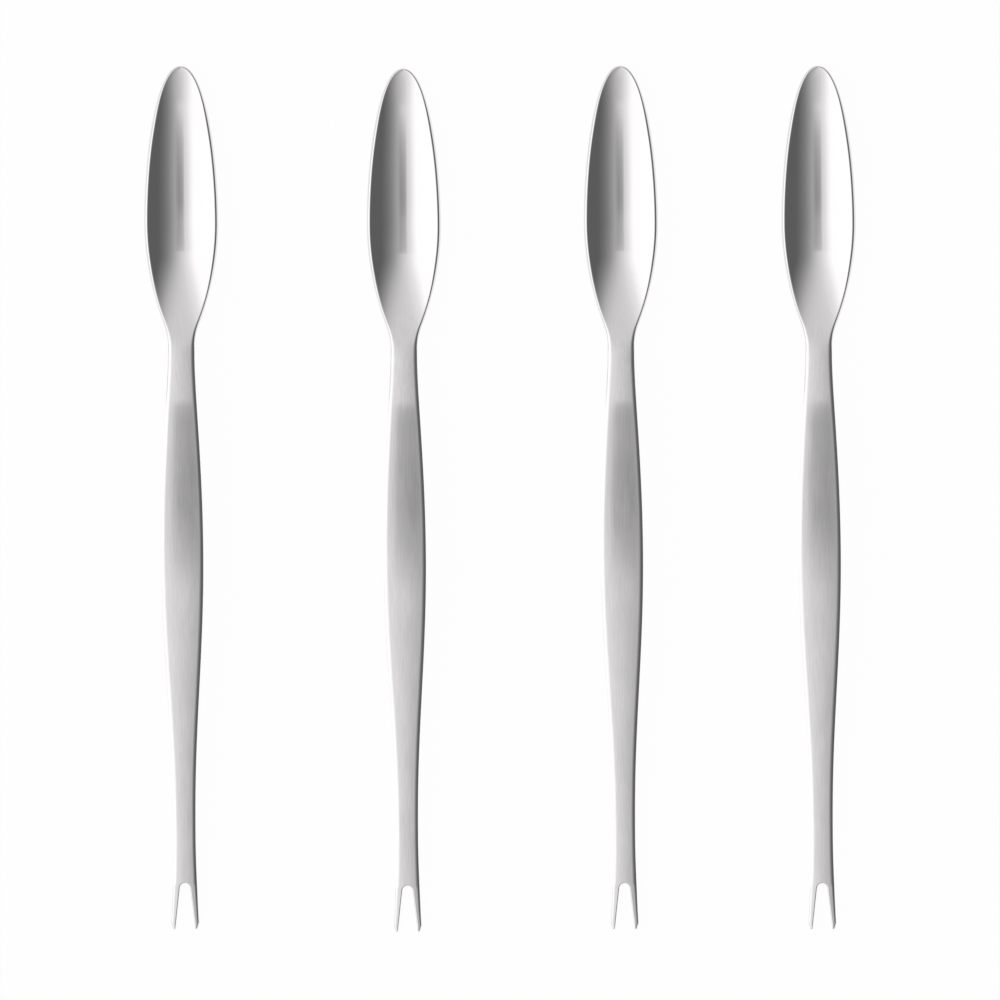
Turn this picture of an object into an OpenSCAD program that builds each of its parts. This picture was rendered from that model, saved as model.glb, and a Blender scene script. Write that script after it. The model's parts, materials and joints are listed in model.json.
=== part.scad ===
// Set of four two-ended seafood forks, laid side by side, face up, as on a table.
// Each fork is one pressed piece of stainless steel: a long pointed bowl for scooping,
// a bent neck, a flat arched handle, and two small spread tines for picking.
// X runs across the row, Y along the forks towards the bowl tips, and Z is up.
// The forks lie on Z = 0, and the origin is under the middle of the row.
// Lengths along a fork are measured from its bowl tip unless they say otherwise.

/* [Fork] */
// Overall length from the bowl tip to the tine tips
fork_length = 200; // [185:1:220]
// Width of the rounding along the edges of the neck, handle and tines
edge_round = 1.2; // [0.8:0.1:1.6]

/* [Bowl] */
// Outside width of the bowl
bowl_width = 17.2; // [14:0.2:20]
// Length from the bowl tip to its widest place
bowl_front = 36.2; // [32:0.2:40]
// Length from the widest place to where the rear sides of the bowl would meet
bowl_rear = 32.6; // [30:0.2:38]
// Depth of the hollow below the rim
bowl_depth = 2.6; // [2:0.1:4]
// Thickness of the bowl wall
bowl_wall = 1.5; // [1.2:0.1:2]
// Width of the lip along the rim of the bowl
rim_width = 0.85; // [0.6:0.05:1.1]
// Length from the bowl tip to where the hollow runs out in the neck
hollow_length = 62; // [56:0.5:66]
// Length of the ramp at the rear of the hollow
hollow_ramp = 18; // [12:0.5:22]
// Drop of the bowl tip below the rest of the rim
tip_drop = 0.8; // [0:0.1:1.2]

/* [Neck] */
// Width of the neck at its narrowest place
neck_width = 6.1; // [5:0.1:7.4]
// Length from the bowl tip to the narrowest place of the neck
neck_place = 67.2; // [65:0.2:72]
// Length from the bowl tip to where the neck starts to climb
neck_start = 51.5; // [46:0.5:54]
// Climb of the neck, in degrees
neck_climb = 8; // [7:0.1:12]

/* [Handle] */
// Width of the handle at its widest place
handle_width = 9.8; // [8:0.1:12]
// Length from the bowl tip to the widest place of the handle
handle_place = 113.2; // [100:0.2:125]
// Thickness of the neck and handle
handle_thickness = 2; // [1.8:0.1:2.6]
// Fall of the handle's top face at its edges, below its middle
handle_crown = 0.25; // [0:0.05:0.4]
// Height of the handle's underside above the table at the arch
arch_clearance = 6.1; // [5.5:0.1:7.5]
// Fall of the handle towards the tines, in degrees
tail_fall = 3.8; // [3.4:0.1:5]

/* [Tines] */
// Width of the shank at its narrowest place, above the tines
shank_width = 5.1; // [4.4:0.1:6]
// Length from the narrowest place of the shank to the tine tips
shank_length = 21; // [17:0.5:28]
// Width over both tines at their tips
tine_spread = 6.6; // [6:0.1:7.6]
// Length of the slot between the tines
tine_length = 10.7; // [8:0.1:14]
// Thickness of the tines
tine_thickness = 1.6; // [1.3:0.1:2]
// Width of one tine just before its tip
tine_width = 1; // [0.8:0.05:1.2]
// Width of the slot at its round root
slot_width = 2.4; // [2:0.1:2.8]
// Length of the slant on the outer corner of a tine
tine_slant = 1.5; // [0.8:0.1:2]
// Width that the slant takes off a tine
tine_slant_width = 0.55; // [0.2:0.05:0.6]

/* [Row] */
// Distance between the first and the second fork
pitch_1_2 = 51.6; // [30:0.1:70]
// Distance between the second and the third fork
pitch_2_3 = 50.3; // [30:0.1:70]
// Distance between the third and the fourth fork
pitch_3_4 = 45.8; // [30:0.1:70]
// How far the second fork lies back from the others
second_back = 0.6; // [0:0.1:3]
// Lean of every fork, bowl to the left, in degrees
lean = 0.3; // [0:0.05:1]

/* [Hidden] */

// Shape of the outline: fullness of the bowl tip, of the handle's swell either way, and of the spread tines
tip_power = 1.9;
tip_root = 0.465;
upper_swell = 1.5;
lower_swell = 2.75;
spread_power = 1.7;
// Shape of the hollow: how its depth follows the width, the curve of its ramp, its flatness at the ends,
// and the length of its gentle start at the tip, with the share of the depth that is left there
depth_power = 2;
ramp_power = 1.2;
tip_flatness = 0.16;
rear_flatness = 0.6;
tip_run = 10;
tip_share = 0.65;
// Lengths over which two outlines or two runs of the side profile blend
neck_fillet = 1.2;
climb_blend = 0.5;
knuckle_blend = 0.5;
arch_blend = 1.2;
ramp_blend = 0.05;
// Where the bowl wall starts to thicken into the neck, and how long the handle's crown takes to set in
wall_start = 40;
crown_run = 5;
// The lip: its width at the bowl tip and where it is at full width, its width at the neck, where it starts
// to narrow towards that, and where it starts to run into the neck's rounding
tip_rim = 0.45;
rim_full = 16;
rear_rim = 0.6;
rim_turn = 44;
rim_end = 56;
// Fall of the rounding along the edges, in shares of the thickness: the lip above and below, and elsewhere,
// and the power of its curve away from the lip, where it only rolls over and doesn't turn upright
rim_fall = 0.73;
rim_under = 0.13;
edge_fall = 0.155;
edge_power = 3;

// Heights of the middle of the metal: at the rim, at the arch and at the tine tips
rim_height = bowl_depth + bowl_wall / 2;
arch_height = arch_clearance + handle_thickness / 2;
tine_height = tine_thickness / 2;
shank_place = fork_length - shank_length;
slant_place = fork_length - tine_slant;
// The slot: its root radius, where its root circle is centred, and half its width at the tips
slot_root = slot_width / 2;
slot_run = tine_length - slot_root;
slot_mouth = tine_spread / 2 - tine_width;

// Stations along the fork, close together where the outline turns
tip_steps = 12;
rear_steps = 15;
upper_steps = 10;
lower_steps = 10;
shank_steps = 5;
stations = concat(
    [for (i = [1:tip_steps]) bowl_front * (1 - cos(90 * i / tip_steps))],
    [for (i = [1:rear_steps]) mix(bowl_front, neck_place, i / rear_steps)],
    [for (i = [1:upper_steps]) mix(neck_place, handle_place, i / upper_steps)],
    [for (i = [1:lower_steps]) mix(handle_place, shank_place, i / lower_steps)],
    [for (i = [1:shank_steps]) mix(shank_place, slant_place, i / shank_steps)],
    [fork_length]
);
// Places across a section: angles round each edge, then shares of the width between the edges
edge_turns = [0, 30, 60, 90];
top_shares = [0.8, 0.55, 0.28];
under_shares = [0.5];
// Sides of the round root of the slot
root_steps = 13;

function mix(a, b, t) = a + (b - a) * t;
function clamp(t) = min(1, max(0, t));
function ease(t) = let (c = clamp(t)) c * c * (3 - 2 * c);
// Smaller or larger of two values, with a rounded changeover of size k
function soft_min(a, b, k) = min(a, b) - pow(max(k - abs(a - b), 0), 2) / (4 * k);
function soft_max(a, b, k) = -soft_min(-a, -b, k);
function swell(t, power) = pow(1 - clamp(t) * clamp(t), power);

// Half the width of the bowl: nearly elliptical to the tip, a parabola to the neck
function bowl_half(s) = s < bowl_front
    ? bowl_width / 2 * pow(1 - pow(1 - s / bowl_front, tip_power), tip_root)
    : bowl_width / 2 * (1 - pow((s - bowl_front) / bowl_rear, 2));

// Half the width of the neck, handle, shank and spread tines
function handle_half(s) = s < handle_place
    ? mix(neck_width, handle_width,
          swell((handle_place - s) / (handle_place - neck_place), upper_swell)) / 2
    : s < shank_place
    ? mix(shank_width, handle_width,
          swell((s - handle_place) / (shank_place - handle_place), lower_swell)) / 2
    : mix(shank_width, tine_spread, pow((s - shank_place) / shank_length, spread_power)) / 2
      - tine_slant_width * clamp((s - slant_place) / tine_slant);

function half_width(s) = s < bowl_front
    ? bowl_half(s)
    : soft_max(bowl_half(s), handle_half(s), neck_fillet);

// Middle of the metal along the edges: level rim, climbing neck, level arch, falling tail
function rim_line(s) = rim_height - tip_drop * pow(max(0, 1 - s / bowl_front), 2);
function neck_line(s) = rim_height + (s - neck_start) * tan(neck_climb);
function tail_line(s) = tine_height + (fork_length - s) * tan(tail_fall);
function edge_height(s) = soft_min(
    soft_min(soft_max(rim_line(s), neck_line(s), climb_blend), arch_height, knuckle_blend),
    tail_line(s), arch_blend);

// Thickness of the metal
function thickness(s) = s < neck_place
    ? mix(bowl_wall, handle_thickness, ease((s - wall_start) / (neck_place - wall_start)))
    : mix(handle_thickness, tine_thickness, ease((s - handle_place) / (fork_length - handle_place)));

// Width of the rounding along the edge, kept inside half a tine where the slot is
function slot_half(s) = mix(slot_mouth, slot_root, min(1, (fork_length - s) / slot_run));
function edge_room(s) = half_width(s) - (s > fork_length - tine_length ? slot_half(s) : 0);
function lip_width(s) = mix(mix(tip_rim, rim_width, ease(s / rim_full)), rear_rim,
    ease((s - rim_turn) / (rim_end - rim_turn)));
function neck_share(s) = ease((s - rim_end) / (neck_place - rim_end));
function edge_width(s) = s < bowl_front
    ? lip_width(s)
    : min(mix(lip_width(s), edge_round, neck_share(s)), edge_room(s) / 2);

// Fall of the rounding from the top face and from the underside
function top_fall(s) = thickness(s) * mix(rim_fall * lip_width(s) / rim_width, edge_fall, neck_share(s));
function under_fall(s) = thickness(s) * mix(rim_under, edge_fall, neck_share(s));

// Square of the half width times its slope, which tells how far the outline has turned across the fork
function outline_turn(s) = s < bowl_front
    ? let (left = 1 - s / bowl_front, full = 1 - pow(left, tip_power))
      pow(pow(bowl_width / 2, 2) / bowl_front * tip_root * tip_power
          * pow(full, 2 * tip_root - 1) * pow(left, tip_power - 1), 2)
    : 0;

// Half the width that the rounding leaves, and how much of the rounding's fall is reached at a place
function inside_half(s) = let (w = half_width(s), r = edge_width(s))
    max(0.2 * w, sqrt(max(0, w * w + 2 * r * r - 2 * r * sqrt(w * w + r * r + outline_turn(s)))));
function edge_share(s, x) = x == 0
    ? clamp(pow(half_width(s), 2) / (2 * edge_width(s) * sqrt(outline_turn(s) + 0.001)))
    : clamp((pow(half_width(s), 2) - x * x) / (2 * edge_width(s) * sqrt(outline_turn(s) + x * x)));
function fall_share(s, x) = let (into = 1 - edge_share(s, x))
    mix(1 - sqrt(1 - into * into), pow(into, edge_power), neck_share(s));

// Depth of the hollow along the middle of the bowl, and at a place across it
function hollow_ramp_share(s) = max(0, soft_min(1, (hollow_length - s) / hollow_ramp, ramp_blend));
function hollow_start(s) = 1 - (1 - tip_share) * pow(clamp(1 - s / tip_run), 2);
function hollow_depth(s) = bowl_depth * hollow_start(s) * pow(2 * half_width(s) / bowl_width, depth_power)
    * pow(hollow_ramp_share(s), ramp_power);
function dish(s, x) = let (
    share = pow(x / inside_half(s), 2),
    flatness = tip_flatness * max(0, 1 - s / bowl_front)
        + rear_flatness * clamp((s - bowl_front) / (hollow_length - bowl_front))
) hollow_depth(s) * max(0, 1 - (1 - flatness) * share - flatness * share * share);

// Crown of the handle's top face, which starts after the hollow and is rounder where the handle is narrow
function crown(s, x) = handle_crown * ease((s - hollow_length) / crown_run)
    * x * x / (half_width(s) * handle_width / 2);

// Half a section from its middle to its edge, as distances from the middle
function half_section(s, shares) = let (w = half_width(s), inside = inside_half(s)) concat(
    [0],
    [for (i = [len(shares) - 1:-1:0]) inside * shares[i]],
    [for (turn = edge_turns) mix(inside, w, sin(turn))]
);
function top_point(s, side, x) = [side * x, fork_length / 2 - s,
    edge_height(s) - dish(s, x) - crown(s, x) + thickness(s) / 2 - top_fall(s) * fall_share(s, x)];
function under_point(s, side, x) = [side * x, fork_length / 2 - s,
    edge_height(s) - dish(s, x) - thickness(s) / 2 + under_fall(s) * fall_share(s, x)];

// One section, round from the middle of the top over the right edge to the underside and back
function section(s) = let (
    top = half_section(s, top_shares),
    under = half_section(s, under_shares),
    last_top = len(top) - 1,
    last_under = len(under) - 1
) concat(
    [for (i = [0:last_top]) top_point(s, 1, top[i])],
    [for (i = [last_under:-1:0]) under_point(s, 1, under[i])],
    [for (i = [1:last_under]) under_point(s, -1, under[i])],
    [for (i = [last_top:-1:1]) top_point(s, -1, top[i])]
);

// The pressed blank: sections along the fork, closed by a point at the bowl tip
module blank() {
    rings = [for (s = stations) section(s)];
    n = len(rings[0]);
    last = len(rings) - 1;
    tip = [0, fork_length / 2, edge_height(0)];
    points = concat([tip], [for (ring = rings) each ring]);
    faces = concat(
        [for (j = [0:n - 1]) [0, 1 + (j + 1) % n, 1 + j]],
        [for (i = [0:last - 1]) for (j = [0:n - 1])
            let (a = 1 + i * n + j, b = 1 + i * n + (j + 1) % n)
            each [[a, b, b + n], [a, b + n, a + n]]],
        [[for (j = [0:n - 1]) 1 + last * n + j]]
    );
    polyhedron(points, faces);
}

// The slot between the tines: a round root, with sides that open towards the tips
module slot() {
    overrun = 2;
    // Each side is tangent to the root circle and passes through the mouth
    opening = acos(slot_root / norm([slot_mouth, slot_run])) - atan2(slot_run, slot_mouth);
    far = slot_mouth + overrun * tan(opening);
    outline = concat(
        [for (i = [0:root_steps]) let (turn = mix(opening, 180 - opening, i / root_steps))
            slot_root * [cos(turn), sin(turn)]],
        [[-far, -slot_run - overrun], [far, -slot_run - overrun]]
    );
    translate([0, slot_run - fork_length / 2, -overrun])
        linear_extrude(height = arch_height + 2 * overrun)
            polygon(outline);
}

module seafood_fork() {
    difference() {
        blank();
        slot();
    }
}

// Puts a fork in the row, with the row's box centred on the origin
module laid(x, back) {
    row = pitch_1_2 + pitch_2_3 + pitch_3_4;
    lean_shift = (fork_length / 2 - bowl_front) * sin(lean);
    translate([x - row / 2 + lean_shift, second_back / 2 - back, 0])
        rotate([0, 0, lean])
            seafood_fork();
}

module fork_1() { color("silver") laid(0, 0); }
module fork_2() { color("silver") laid(pitch_1_2, second_back); }
module fork_3() { color("silver") laid(pitch_1_2 + pitch_2_3, 0); }
module fork_4() { color("silver") laid(pitch_1_2 + pitch_2_3 + pitch_3_4, 0); }

fork_1();
fork_2();
fork_3();
fork_4();
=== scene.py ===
import bmesh
import bpy
import json
import numpy as np
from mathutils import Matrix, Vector

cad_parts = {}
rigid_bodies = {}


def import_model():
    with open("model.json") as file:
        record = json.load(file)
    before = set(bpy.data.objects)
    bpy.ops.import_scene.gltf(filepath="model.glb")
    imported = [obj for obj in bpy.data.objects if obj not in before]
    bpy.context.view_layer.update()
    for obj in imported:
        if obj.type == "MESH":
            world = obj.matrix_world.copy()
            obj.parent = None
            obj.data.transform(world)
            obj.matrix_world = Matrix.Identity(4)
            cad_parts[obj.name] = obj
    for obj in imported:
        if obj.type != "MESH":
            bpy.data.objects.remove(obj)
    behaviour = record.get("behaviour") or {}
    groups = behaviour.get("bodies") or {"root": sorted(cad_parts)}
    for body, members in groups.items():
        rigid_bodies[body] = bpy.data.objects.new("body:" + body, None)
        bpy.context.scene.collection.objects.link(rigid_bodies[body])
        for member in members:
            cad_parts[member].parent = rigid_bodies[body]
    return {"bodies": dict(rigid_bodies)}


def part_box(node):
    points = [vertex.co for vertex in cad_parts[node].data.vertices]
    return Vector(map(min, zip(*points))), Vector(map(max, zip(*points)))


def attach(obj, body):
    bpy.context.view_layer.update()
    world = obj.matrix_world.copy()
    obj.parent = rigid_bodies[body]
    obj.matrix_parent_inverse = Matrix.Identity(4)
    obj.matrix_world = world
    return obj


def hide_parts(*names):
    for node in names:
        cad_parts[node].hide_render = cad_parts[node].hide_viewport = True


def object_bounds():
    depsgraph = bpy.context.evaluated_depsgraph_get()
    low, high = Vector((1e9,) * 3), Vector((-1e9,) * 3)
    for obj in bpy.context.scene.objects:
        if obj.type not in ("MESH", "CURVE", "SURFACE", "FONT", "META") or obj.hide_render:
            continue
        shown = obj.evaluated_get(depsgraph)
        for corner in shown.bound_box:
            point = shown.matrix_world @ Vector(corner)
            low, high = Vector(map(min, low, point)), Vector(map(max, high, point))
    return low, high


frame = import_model()
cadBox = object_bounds()
mm = 0.001
forkNames = sorted(frame["bodies"])
print("frame loaded with", ", ".join(forkNames))


def linear(hexColour):
    # sRGB hex to the linear values that the shaders take
    srgb = np.array([int(hexColour[i:i + 2], 16) for i in (1, 3, 5)]) / 255
    low = srgb / 12.92
    high = ((srgb + 0.055) / 1.055) ** 2.4
    return [*np.where(srgb <= 0.04045, low, high).tolist(), 1]


def addNode(tree, kind, settings=None, links=None):
    # a node of that kind: settings go to its sockets or, if it has none so named, to its properties
    node = tree.nodes.new(kind)
    for name, value in (settings or {}).items():
        if isinstance(name, int) or name in node.inputs:
            node.inputs[name].default_value = value
        else:
            setattr(node, name, value)
    for name, source in (links or {}).items():
        tree.links.new(source, node.inputs[name])
    return node


# camera: nearly straight down on the row, a little from the right, and so far off that all forks
# are seen alike
shot = {
    "lensMm": 1600,
    "sensorMm": 36,
    "pictureMm": 231.5,   # real size of the picture's side at the height of the forks
    "rightMm": 0.13,      # where the picture's middle lies from the middle of the row
    "upMm": -0.24,
    "heightMm": 5,
    "tiltDegrees": 2.5,   # how far to the right of straight up the camera stands
}


def addCamera():
    low, high = cadBox
    camera = bpy.data.objects.new("camera", bpy.data.cameras.new("camera"))
    bpy.context.scene.collection.objects.link(camera)
    camera.data.lens = shot["lensMm"]
    camera.data.sensor_width = shot["sensorMm"]
    distance = shot["pictureMm"] * mm * shot["lensMm"] / shot["sensorMm"]
    aim = Vector(((low.x + high.x) / 2, (low.y + high.y) / 2, low.z))
    aim += Vector((shot["rightMm"], shot["upMm"], shot["heightMm"])) * mm
    tilt = np.radians(shot["tiltDegrees"])
    camera.location = aim + distance * Vector((np.sin(tilt), 0, np.cos(tilt)))
    camera.rotation_euler = (0, tilt, 0)
    bpy.context.scene.camera = camera


addCamera()
bpy.context.scene.view_settings.view_transform = "Standard"
print("camera placed")


# light: a pale tent, bright on the left and fading over the top to a grey wall on the right, with grey
# end walls and a darker opening over the table; angles are in degrees from straight up
tent = {
    # brightness from left to right
    "levels": [(-90, 1.28), (-30.5, 1.27), (-20.5, 1.12), (-13.5, 0.94), (-6.5, 0.865), (0.5, 0.745),
               (7.5, 0.565), (14.5, 0.405), (21.5, 0.31), (28.5, 0.235), (37.5, 0.172), (47.5, 0.12),
               (90, 0.14)],
    "top": 2.0,                     # brightness that full white in the ramp stands for
    "endLevel": 0.45,               # the walls past the bowl tips and past the tines
    "endShare": 0.85,
    "endFrom": (32, 58),            # where they set in
    "openingAcross": (-8, 7.6),
    "openingEdges": (2.5, 5.4),     # softness of its edges on the left and on the right
    "skirtAcross": (-22.5, 11.5),   # the dim surround of the opening
    "skirtEdges": (8, 8),
    "openingShade": 0.4,            # how much of the light is missing in each
    "skirtShade": 0.14,
    # share of that shade, from the side of the tines to the side of the bowl tips
    "openingAlong": [(-90, 0.24), (-9.6, 0.24), (-8.4, 0), (-7.3, 0), (-6.7, 0.16), (-6.2, 0.37),
                     (-5.6, 0.56), (-4.8, 0.72), (-3.5, 0.85), (-1.6, 1), (-0.7, 0.9), (0, 0.66),
                     (2, 0.7), (6.5, 0.6), (8.6, 0.4), (9.4, 0.13), (30, 0.13), (90, 0)],
}


def addTent():
    world = bpy.data.worlds.new("light tent")
    world.use_nodes = True
    bpy.context.scene.world = world
    tree = world.node_tree
    tree.nodes.clear()
    toward = addNode(tree, "ShaderNodeTexCoord").outputs["Generated"]
    axis = addNode(tree, "ShaderNodeSeparateXYZ", links={0: toward}).outputs

    def angleOf(side):
        # how far a direction leans from straight up to that side
        turn = addNode(tree, "ShaderNodeMath", {"operation": "ARCTAN2"}, {0: axis[side], 1: axis["Z"]})
        return addNode(tree, "ShaderNodeMath", {"operation": "DEGREES"}, {0: turn.outputs[0]}).outputs[0]

    def inside(angle, limits, edges):
        # 1 between the limits and 0 outside them, with soft edges
        low, high = limits
        lowEdge, highEdge = edges
        rise = addNode(tree, "ShaderNodeMapRange", {
            "interpolation_type": "SMOOTHSTEP",
            "From Min": low - lowEdge, "From Max": low + lowEdge}, {"Value": angle})
        fall = addNode(tree, "ShaderNodeMapRange", {
            "interpolation_type": "SMOOTHSTEP",
            "From Min": high + highEdge, "From Max": high - highEdge}, {"Value": angle})
        both = addNode(tree, "ShaderNodeMath", {"operation": "MULTIPLY"},
                       {0: rise.outputs[0], 1: fall.outputs[0]})
        return both.outputs[0]

    def curve(angle, stops, top, interpolation):
        # values at given angles from -90 to 90 degrees, with the rest filled in between
        place = addNode(tree, "ShaderNodeMapRange", {"From Min": -90, "From Max": 90}, {"Value": angle})
        ramp = addNode(tree, "ShaderNodeValToRGB", links={0: place.outputs[0]})
        ramp.color_ramp.interpolation = interpolation
        elements = ramp.color_ramp.elements
        while len(elements) < len(stops):
            elements.new(0.5)
        for element, (degrees, value) in zip(elements, stops):
            element.position = (degrees + 90) / 180
            element.color = [value / top] * 3 + [1]
        return ramp.outputs["Color"]

    across = angleOf("X")
    along = angleOf("Y")
    levels = curve(across, tent["levels"], tent["top"], "B_SPLINE")
    lengthwise = addNode(tree, "ShaderNodeMath", {"operation": "ABSOLUTE"}, {0: along})
    ends = addNode(tree, "ShaderNodeMapRange", {
        "interpolation_type": "SMOOTHSTEP", "From Min": tent["endFrom"][0], "From Max": tent["endFrom"][1],
        "To Max": tent["endShare"]}, {"Value": lengthwise.outputs[0]})
    # a Mix of colours takes its share at socket 0 and the colours at 6 and 7, and gives the result at 2
    walls = addNode(tree, "ShaderNodeMix", {
        "data_type": "RGBA", 7: [tent["endLevel"] / tent["top"]] * 3 + [1]}, {0: ends.outputs[0], 6: levels})
    opening = addNode(tree, "ShaderNodeMath", {"operation": "MULTIPLY", 1: tent["openingShade"]},
                      {0: inside(across, tent["openingAcross"], tent["openingEdges"])})
    shade = addNode(tree, "ShaderNodeMath", {"operation": "MULTIPLY_ADD", 1: tent["skirtShade"]},
                    {0: inside(across, tent["skirtAcross"], tent["skirtEdges"]), 2: opening.outputs[0]})
    hole = addNode(tree, "ShaderNodeMath", {"operation": "MULTIPLY"},
                   {0: shade.outputs[0], 1: curve(along, tent["openingAlong"], 1, "LINEAR")})
    strength = addNode(tree, "ShaderNodeMapRange", {"To Min": tent["top"], "To Max": 0},
                       {"Value": hole.outputs[0]})
    light = addNode(tree, "ShaderNodeBackground", links={
        "Color": walls.outputs[2], "Strength": strength.outputs[0]})
    addNode(tree, "ShaderNodeOutputWorld", links={"Surface": light.outputs[0]})


addTent()
print("light tent made")


# table: a plain white board, which shows and mirrors as white and still takes the forks' soft shadow
board = {
    "sizeMm": 24000,
    "colour": "#ffffff",
    "glow": 0.97,   # share of plain white in what is seen, the rest is the lit board
}


def addBoard():
    material = bpy.data.materials.new("white board, matt painted")
    material.use_nodes = True
    tree = material.node_tree
    tree.nodes.clear()
    lit = addNode(tree, "ShaderNodeBsdfDiffuse", {"Color": linear(board["colour"])})
    white = addNode(tree, "ShaderNodeEmission", {"Color": linear(board["colour"]), "Strength": 1})
    ray = addNode(tree, "ShaderNodeLightPath").outputs
    seen = addNode(tree, "ShaderNodeMath", {"operation": "MAXIMUM"},
                   {0: ray["Is Camera Ray"], 1: ray["Is Glossy Ray"]})
    seen = addNode(tree, "ShaderNodeMath", {"operation": "MAXIMUM"},
                   {0: seen.outputs[0], 1: ray["Is Transmission Ray"]})
    share = addNode(tree, "ShaderNodeMath", {"operation": "MULTIPLY", 1: board["glow"]},
                    {0: seen.outputs[0]})
    mixed = addNode(tree, "ShaderNodeMixShader", links={
        0: share.outputs[0], 1: lit.outputs[0], 2: white.outputs[0]})
    addNode(tree, "ShaderNodeOutputMaterial", links={"Surface": mixed.outputs[0]})
    half = board["sizeMm"] * mm / 2
    corners = [(-half, -half, 0), (half, -half, 0), (half, half, 0), (-half, half, 0)]
    mesh = bpy.data.meshes.new("board")
    mesh.from_pydata(corners, [], [(0, 1, 2, 3)])
    mesh.materials.append(material)
    floor = bpy.data.objects.new("board", mesh)
    bpy.context.scene.collection.objects.link(floor)


addBoard()
print("board laid")


# stainless steel, satin polished in the bowl and brushed lengthwise on the neck and handle:
# neutral grey, soft mirror of its surroundings, with faint streaks along the fork
steel = {
    "bright": "#f2f0f0",
    "dull": "#dddbdb",
    "plainTone": 0.5,         # between the two, where nothing is brushed
    "bowlRoughness": 0.07,
    "brushedRoughness": 0.12,
    "roughnessSpread": 0.06,
    "lineMm": 0.35,           # real brush lines are finer, these are as coarse as the picture needs
    "lineLengthMm": 9,
    "lineHeightMm": 0.004,
    "lineDetail": 3,
    "smudgeMm": 4,            # soft patches where the brushing is rougher or smoother
    "smudgeLengthMm": 11,
    "smudgeDetail": 2,
    "smudgeRange": (0.3, 0.7),
    "fineShare": 0.6,         # how much of each pattern is in its finer detail
    "brushedFromMm": 36,      # along the fork from the middle of the row, where the bowl's polish ends
    "polishedFromMm": 48,
    "bowlBrushing": 0.12,     # what is left of the brushing in the bowl
}


def makeSteel():
    material = bpy.data.materials.new("stainless steel, satin polished and brushed")
    material.use_nodes = True
    tree = material.node_tree
    tree.nodes.clear()
    where = addNode(tree, "ShaderNodeTexCoord").outputs["Object"]

    def streaks(acrossMm, alongMm, detail):
        # noise drawn out along the fork
        scale = [1 / (size * mm) for size in (acrossMm, alongMm, acrossMm)]
        placed = addNode(tree, "ShaderNodeMapping", {"Scale": scale}, {"Vector": where})
        noise = addNode(tree, "ShaderNodeTexNoise", {
            "Scale": 1, "Detail": detail, "Roughness": steel["fineShare"]}, {"Vector": placed.outputs[0]})
        return noise.outputs["Fac"]

    lines = streaks(steel["lineMm"], steel["lineLengthMm"], steel["lineDetail"])
    smudges = streaks(steel["smudgeMm"], steel["smudgeLengthMm"], steel["smudgeDetail"])
    along = addNode(tree, "ShaderNodeSeparateXYZ", links={0: where}).outputs["Y"]
    brushed = addNode(tree, "ShaderNodeMapRange", {
        "interpolation_type": "SMOOTHSTEP",
        "From Min": steel["brushedFromMm"] * mm, "From Max": steel["polishedFromMm"] * mm,
        "To Min": 1, "To Max": steel["bowlBrushing"]}, {"Value": along}).outputs[0]
    base = addNode(tree, "ShaderNodeMapRange", {
        "To Min": steel["bowlRoughness"], "To Max": steel["brushedRoughness"]}, {"Value": brushed})
    spread = addNode(tree, "ShaderNodeMapRange", {
        "From Min": steel["smudgeRange"][0], "From Max": steel["smudgeRange"][1],
        "To Min": -steel["roughnessSpread"] / 2, "To Max": steel["roughnessSpread"] / 2}, {"Value": smudges})
    rough = addNode(tree, "ShaderNodeMath", {"operation": "MULTIPLY_ADD"},
                    {0: spread.outputs[0], 1: brushed, 2: base.outputs[0]})
    streak = addNode(tree, "ShaderNodeMapRange", {"To Min": steel["plainTone"]},
                     {"Value": brushed, "To Max": lines})
    tone = addNode(tree, "ShaderNodeMix", {
        "data_type": "RGBA", 6: linear(steel["dull"]), 7: linear(steel["bright"])}, {0: streak.outputs[0]})
    relief = addNode(tree, "ShaderNodeBump", {"Distance": steel["lineHeightMm"] * mm},
                     {"Height": lines, "Strength": brushed})
    shader = addNode(tree, "ShaderNodeBsdfPrincipled", {"Metallic": 1}, {
        "Base Color": tone.outputs[2], "Roughness": rough.outputs[0], "Normal": relief.outputs[0]})
    addNode(tree, "ShaderNodeOutputMaterial", links={"Surface": shader.outputs[0]})
    return material


steelMaterial = makeSteel()
print("steel made")


# one pressed fork, in millimetres; lengths run from the bowl tip, and the fork is the same left and right
blank = {
    "length": 200,
    "leanDegrees": 0.3,                              # how far each fork lies turned in the row
    "edge": 1.2, "edgeFall": 0.155, "edgePower": 3,  # roll of the edges: width, share of thickness, curve
}
bowl = {
    "width": 17.2, "front": 36.2, "rear": 32.6,      # widest place from the tip, and from there to nothing
    "tipPower": 1.9, "tipRoot": 0.465,               # fullness of the outline at the tip
    "wall": 1.5, "wallStart": 40,                    # thickness, and where it starts to grow
    "rim": 0.85, "tipRim": 0.45, "rearRim": 0.6,     # width of the lip, and at its two ends
    "rimFull": 16, "rimTurn": 44, "rimEnd": 56,      # where it is full, starts to narrow and ends
    "rimFall": 0.73, "rimUnder": 0.13,               # shares of the thickness that it falls above and below
    "rimSoftness": 0.04,                             # of its inner edge
    "depth": 2.6, "depthPower": 2,
    "hollowEnd": 62, "ramp": 18, "rampBlend": 0.05, "rampPower": 1.2,
    "tipFlatness": 0.16, "rearFlatness": 0.6,
    "tipRun": 10, "tipShare": 0.65,                  # gentle start of the hollow, and share of depth there
    "tipDrop": 0.8,                                  # how far the rim dips to the tip
}
neck = {
    "width": 6.1, "place": 67.2, "fillet": 1.2,
    "start": 51.5, "climbDegrees": 8, "climbBlend": 0.5,
}
handle = {
    "width": 9.8, "place": 113.2, "upperSwell": 1.5, "lowerSwell": 2.75,
    "thickness": 2.0, "crown": 0.25, "crownRun": 5,
    "clearance": 6.1, "knuckleBlend": 0.5, "archBlend": 1.2, "fallDegrees": 3.8,
}
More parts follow.
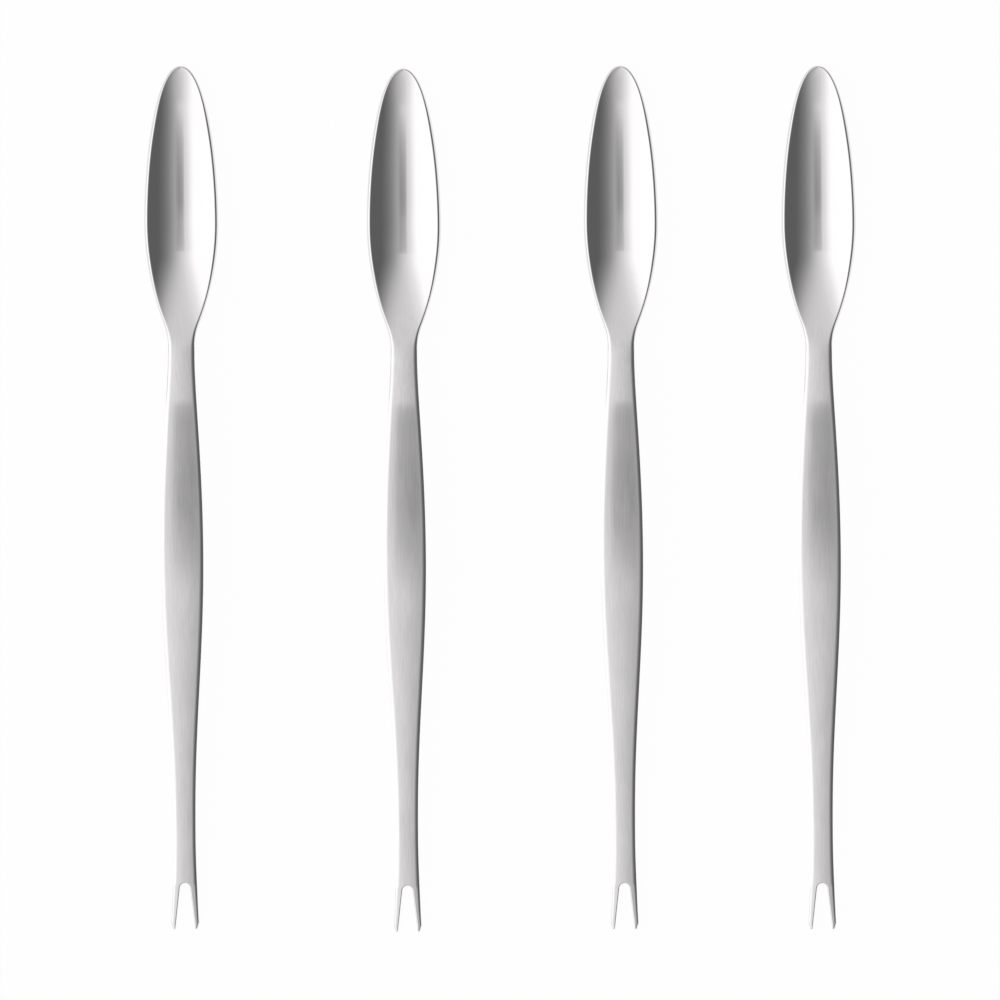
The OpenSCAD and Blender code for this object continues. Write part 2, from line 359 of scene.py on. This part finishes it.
tines = {
    "shankWidth": 5.1, "shankLength": 21, "spread": 6.6, "spreadPower": 1.7,
    "length": 10.7, "thickness": 1.6, "width": 1.0,
    "slotWidth": 2.4, "slotEdge": 0.25, "slotDrop": 0.3,
    "slant": 1.5, "slantWidth": 0.55, "endEdge": 0.35,
}
# how finely the surface is divided
fineness = {
    "tipRows": 61, "bodyStep": 0.6, "tailFrom": 92, "tailStep": 1.3,
    "rootRows": 17, "rootRun": 1.2, "prongStep": 0.5, "endRows": 21,
    "edgeColumns": 13, "middleColumns": 25, "wallColumns": 4,
}


def mix(a, b, share):
    # a at share 0 and b at share 1, straight between
    return a + (b - a) * share


def ease(share):
    # from 0 to 1, level at both ends: 3 times the square less 2 times the cube
    share = np.clip(share, 0, 1)
    return share * share * (3 - 2 * share)


def softMin(a, b, size):
    # the smaller of two values, rounded by a parabola where they differ by less than size
    return np.minimum(a, b) - np.maximum(size - np.abs(a - b), 0) ** 2 / (4 * size)


def softMax(a, b, size):
    # the larger of two values, rounded in the same way
    return -softMin(-a, -b, size)


def quarterRound(share):
    # height of a quarter circle that rises from 0 at share 0 to 1 at share 1
    return np.sqrt(1 - (1 - np.clip(share, 0, 1)) ** 2)


def bowlHalf(s):
    # half the bowl's width: nearly elliptical up to the tip, a parabola down to the neck
    front = (1 - np.clip(1 - s / bowl["front"], 0, 1) ** bowl["tipPower"]) ** bowl["tipRoot"]
    rear = 1 - ((s - bowl["front"]) / bowl["rear"]) ** 2
    return bowl["width"] / 2 * np.where(s < bowl["front"], front, rear)


def halfWidth(s):
    # half the fork's width: the bowl blended into a handle that swells and narrows, then the spread tines
    def swell(share, power):
        # a bell: some power of 1 less the square
        return (1 - np.clip(share, 0, 1) ** 2) ** power
    shankPlace = blank["length"] - tines["shankLength"]
    slantPlace = blank["length"] - tines["slant"]
    upper = swell((handle["place"] - s) / (handle["place"] - neck["place"]), handle["upperSwell"])
    lower = swell((s - handle["place"]) / (shankPlace - handle["place"]), handle["lowerSwell"])
    spread = np.clip((s - shankPlace) / tines["shankLength"], 0, 1) ** tines["spreadPower"]
    slanted = tines["slantWidth"] * np.clip((s - slantPlace) / tines["slant"], 0, 1)
    bar = np.where(s < handle["place"], mix(neck["width"], handle["width"], upper) / 2,
                   mix(tines["shankWidth"], handle["width"], lower) / 2)
    bar = np.where(s < shankPlace, bar, mix(tines["shankWidth"], tines["spread"], spread) / 2 - slanted)
    return np.where(s < bowl["front"], bowlHalf(s), softMax(bowlHalf(s), bar, neck["fillet"]))


def edgeHeight(s):
    # middle of the metal along the edges: level rim, climbing neck, level arch, falling tail
    rimHeight = bowl["depth"] + bowl["wall"] / 2
    rim = rimHeight - bowl["tipDrop"] * np.clip(1 - s / bowl["front"], 0, 1) ** 2
    climb = rimHeight + (s - neck["start"]) * np.tan(np.radians(neck["climbDegrees"]))
    arch = handle["clearance"] + handle["thickness"] / 2
    tail = tines["thickness"] / 2 + (blank["length"] - s) * np.tan(np.radians(handle["fallDegrees"]))
    upToArch = softMin(softMax(rim, climb, neck["climbBlend"]), arch, handle["knuckleBlend"])
    return softMin(upToArch, tail, handle["archBlend"])


def thickness(s):
    # the bowl's wall, eased up to the handle's thickness at the neck and down to that of the tines
    intoNeck = ease((s - bowl["wallStart"]) / (neck["place"] - bowl["wallStart"]))
    intoTines = ease((s - handle["place"]) / (blank["length"] - handle["place"]))
    return np.where(s < neck["place"], mix(bowl["wall"], handle["thickness"], intoNeck),
                    mix(handle["thickness"], tines["thickness"], intoTines))


def edgeSizes(s):
    # width of the rounding along the edges, its fall above and below, and how far it has gone over from the
    # steep lip of the bowl, which is finer at both of its ends, to the gentle roll of the rest
    front = mix(bowl["tipRim"], bowl["rim"], ease(s / bowl["rimFull"]))
    lip = mix(front, bowl["rearRim"], ease((s - bowl["rimTurn"]) / (bowl["rimEnd"] - bowl["rimTurn"])))
    share = ease((s - bowl["rimEnd"]) / (neck["place"] - bowl["rimEnd"]))
    room = (halfWidth(s) - slotHalf(s)) / 2
    width = np.where(s < bowl["front"], lip, np.minimum(mix(lip, blank["edge"], share), room))
    above = thickness(s) * mix(bowl["rimFall"] * lip / bowl["rim"], blank["edgeFall"], share)
    below = thickness(s) * mix(bowl["rimUnder"], blank["edgeFall"], share)
    return width, above, below, share


def outlineTurn(s):
    # square of the half width times its slope, which tells how far the outline has turned across the fork
    power = bowl["tipPower"]
    root = bowl["tipRoot"]
    left = np.clip(1 - s / bowl["front"], 0, 1)
    full = np.maximum(1 - left ** power, 1e-9)   # never 0, at the tip
    slope = root * full ** (2 * root - 1) * power * left ** (power - 1)
    return (slope * bowl["width"] ** 2 / 4 / bowl["front"]) ** 2


def insideHalf(s):
    # half the width inside the rounding: where the distance from the outline is the rounding's width
    outer = halfWidth(s)
    edge = edgeSizes(s)[0]
    square = outer ** 2 + 2 * edge ** 2 - 2 * edge * np.sqrt(outer ** 2 + edge ** 2 + outlineTurn(s))
    return np.sqrt(np.maximum(square, 0))


def edgeDistance(s, x):
    # how far a place is from the outline, to first order: the half width squared less x squared, over the
    # steepness of that difference
    return (halfWidth(s) ** 2 - x ** 2) / (2 * np.sqrt(outlineTurn(s) + x ** 2 + 1e-12))


def hollow(s):
    # depth along the middle of the bowl: it goes with a power of the width, and runs out on a ramp behind
    ratio = 2 * halfWidth(s) / bowl["width"]
    share = softMin(np.ones_like(s), (bowl["hollowEnd"] - s) / bowl["ramp"], bowl["rampBlend"])
    start = 1 - (1 - bowl["tipShare"]) * np.clip(1 - s / bowl["tipRun"], 0, 1) ** 2
    return bowl["depth"] * start * ratio ** bowl["depthPower"] * np.maximum(share, 0) ** bowl["rampPower"]


# the slot: a round root whose sides run off at a tangent and open towards the tips
slotRoot = tines["slotWidth"] / 2
slotRun = tines["length"] - slotRoot
slotMouth = tines["spread"] / 2 - tines["width"]
slotCentre = blank["length"] - slotRun
slotStart = slotCentre - slotRoot
slotOpening = np.arccos(slotRoot / np.hypot(slotMouth, slotRun)) - np.arctan2(slotRun, slotMouth)


def slotHalf(s):
    # half the slot's width: the arc of its root, then a straight side
    arc = np.sqrt(np.maximum(slotRoot ** 2 - (slotCentre - s) ** 2, 0))
    side = slotMouth - (blank["length"] - s) * np.tan(slotOpening)
    half = np.where(s < slotCentre - slotRoot * np.sin(slotOpening), arc, side)
    return np.where(s < slotStart, 0, half)


def slotDistance(s, x):
    # how far a place is from the slot's wall, which is round at the root and straight behind it
    up = slotCentre - s
    fromRoot = np.hypot(x, up) - slotRoot
    fromSide = (x - slotMouth + (blank["length"] - s) * np.tan(slotOpening)) * np.cos(slotOpening)
    return np.where(up > x * np.tan(slotOpening), fromRoot, fromSide)


def stations():
    # places along the fork, close together at the bowl tip, round the slot's root and at the tine ends
    tipTurn = np.linspace(0, np.pi / 2, fineness["tipRows"])
    rootTurn = np.linspace(0, np.pi / 2, fineness["rootRows"])
    endTurn = np.linspace(0, np.pi / 2, fineness["endRows"])
    tip = bowl["front"] * (1 - np.cos(tipTurn))
    body = np.arange(bowl["front"], fineness["tailFrom"], fineness["bodyStep"])
    tail = np.arange(fineness["tailFrom"], slotStart - fineness["rootRun"], fineness["tailStep"])
    rootEdge = slotStart - fineness["rootRun"] * (1 - np.sin(rootTurn))
    root = slotCentre - slotRoot * np.cos(rootTurn)
    prongs = np.arange(slotCentre, blank["length"] - tines["slant"], fineness["prongStep"])
    ends = blank["length"] - tines["slant"] * (1 - np.sin(endTurn))
    return np.unique(np.round(np.concatenate([tip, body, tail, rootEdge, root, prongs, ends]), 6))


def columns(s):
    # places across half the fork, from the middle or the slot out to the edge, close together at both edges
    inner = slotHalf(s)
    inside = np.maximum(insideHalf(s), inner)
    slotEdge = np.minimum(tines["slotEdge"], (inside - inner) / 2)
    turn = np.linspace(0, np.pi / 2, fineness["edgeColumns"])
    first = inner + slotEdge * (1 - np.cos(turn[::2]))
    middle = mix(inner + slotEdge, inside, np.linspace(0, 1, fineness["middleColumns"])[1:-1])
    last = mix(inside, halfWidth(s), np.sin(turn))
    return np.concatenate([first, middle, last], axis=1), slotEdge


def forkSurface():
    # half a fork as grids over the place along it and the place across it: the middle of the metal, sunk by
    # the hollow as a parabola across, plus or minus half the thickness; the top of the handle falls off with
    # the square of x; the bowl's lip, the slot and the tine ends have quarter rounds, the other edges roll
    # over with the cube of the way into them, and an upright wall joins top and underside
    s = stations()[:, None]
    x, slotEdge = columns(s)
    inside = np.maximum(insideHalf(s), 1e-3)   # never 0, at the tip
    square = (x / inside) ** 2
    behind = (s - bowl["front"]) / (bowl["hollowEnd"] - bowl["front"])
    flatness = bowl["tipFlatness"] * np.clip(1 - s / bowl["front"], 0, 1)
    flatness = flatness + bowl["rearFlatness"] * np.clip(behind, 0, 1)
    bend = 1 - (1 - flatness) * square - flatness * square ** 2
    dish = hollow(s) * softMax(bend, np.zeros_like(x), bowl["rimSoftness"])
    crownStart = ease((s - bowl["hollowEnd"]) / handle["crownRun"])
    crown = handle["crown"] * crownStart * x ** 2 / (np.maximum(halfWidth(s), 1e-3) * handle["width"] / 2)
    edge, topDrop, underDrop, rolled = edgeSizes(s)
    intoEdge = 1 - np.clip(edgeDistance(s, x) / edge, 0, 1)
    fromEdge = mix(1 - quarterRound(1 - intoEdge), intoEdge ** blank["edgePower"], rolled)
    fromSlot = tines["slotDrop"] * (1 - quarterRound(slotDistance(s, x) / np.maximum(slotEdge, 1e-6)))
    fromSlot = np.where(s < slotStart - tines["slotEdge"], 0, fromSlot)
    end = quarterRound((blank["length"] - s) / tines["endEdge"])
    middle = edgeHeight(s) - dish
    y = np.broadcast_to(blank["length"] / 2 - s, x.shape)
    topHeight = middle + end * (thickness(s) / 2 - crown - topDrop * fromEdge - fromSlot)
    underHeight = middle - end * (thickness(s) / 2 - underDrop * fromEdge - fromSlot)
    top = np.stack([x, y, topHeight], axis=-1)
    under = np.stack([x, y, underHeight], axis=-1)
    steps = np.linspace(0, 1, fineness["wallColumns"])[:, None]
    outerWall = mix(top[:, -1, None], under[:, -1, None], steps)
    firstRow = int(np.searchsorted(s[:, 0], slotStart - 1e-6))
    slotWall = mix(top[firstRow:, 0, None], under[firstRow:, 0, None], steps)
    return [top, under, outerWall, slotWall]


def gridFaces(shape, first):
    # the four-sided faces of a grid whose points are numbered row by row from first
    index = first + np.arange(shape[0] * shape[1]).reshape(shape[:2])
    corners = [index[:-1, :-1], index[1:, :-1], index[1:, 1:], index[:-1, 1:]]
    return np.stack(corners, axis=-1).reshape(-1, 4)


def addFork(name, half):
    # both halves turned by the lean, set where the solid lies and merged into one closed surface
    grids = half + [grid * np.array([-1, 1, 1]) for grid in half]
    counts = [grid.shape[0] * grid.shape[1] for grid in grids]
    points = np.concatenate([grid.reshape(-1, 3) for grid in grids])
    faces = np.concatenate([gridFaces(grid.shape, sum(counts[:i])) for i, grid in enumerate(grids)])
    lean = np.radians(blank["leanDegrees"])
    turn = np.array([[np.cos(lean), -np.sin(lean), 0], [np.sin(lean), np.cos(lean), 0], [0, 0, 1]])
    points = points @ turn.T * mm
    low, high = (np.array(corner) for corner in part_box(name))
    shift = (low + high) / 2 - (points.min(0) + points.max(0)) / 2
    shift[2] = low[2] - points[:, 2].min()
    points += shift
    mesh = bpy.data.meshes.new("seafood_" + name)
    mesh.from_pydata(points.tolist(), [], faces.tolist())
    built = bmesh.new()
    built.from_mesh(mesh)
    bmesh.ops.remove_doubles(built, verts=built.verts, dist=1e-7)
    bmesh.ops.recalc_face_normals(built, faces=built.faces)
    built.to_mesh(mesh)
    built.free()
    mesh.polygons.foreach_set("use_smooth", [True] * len(mesh.polygons))
    mesh.materials.append(steelMaterial)
    piece = bpy.data.objects.new("seafood_" + name, mesh)
    bpy.context.scene.collection.objects.link(piece)
    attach(piece, name)
    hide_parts(name)
    return piece


halfGrids = forkSurface()
for forkName in forkNames:
    fork = addFork(forkName, halfGrids)
    print(fork.name, "made of", len(fork.data.polygons), "faces")

bpy.context.view_layer.update()
